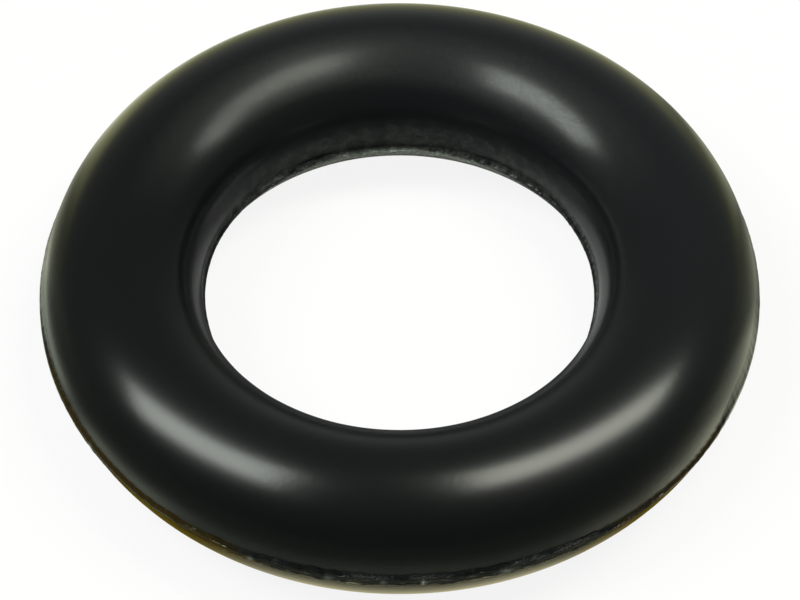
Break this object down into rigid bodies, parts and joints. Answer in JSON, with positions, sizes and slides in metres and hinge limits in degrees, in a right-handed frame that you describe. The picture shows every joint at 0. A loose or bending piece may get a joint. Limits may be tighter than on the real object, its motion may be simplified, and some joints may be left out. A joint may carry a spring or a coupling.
{
  "type": "o-ring",
  "caption": "Round-section rubber o-ring, moulded in one piece, that seals between a groove and a mating wall.",
  "frame": {"origin": "centre of the ring, at mid-height of its section, on the parting plane", "axes": "+Z along the ring's axis; X and Y lie in the parting plane and are interchangeable"},
  "size_m": [0.0082, 0.0082, 0.0018],
  "materials": {
    "rubber": "satin moulded black nitrile rubber, with a rougher trimmed line round the rim and the bore"
  },
  "bodies": {
    "root": {"o_ring": "rubber"}
  },
  "joints": []
}
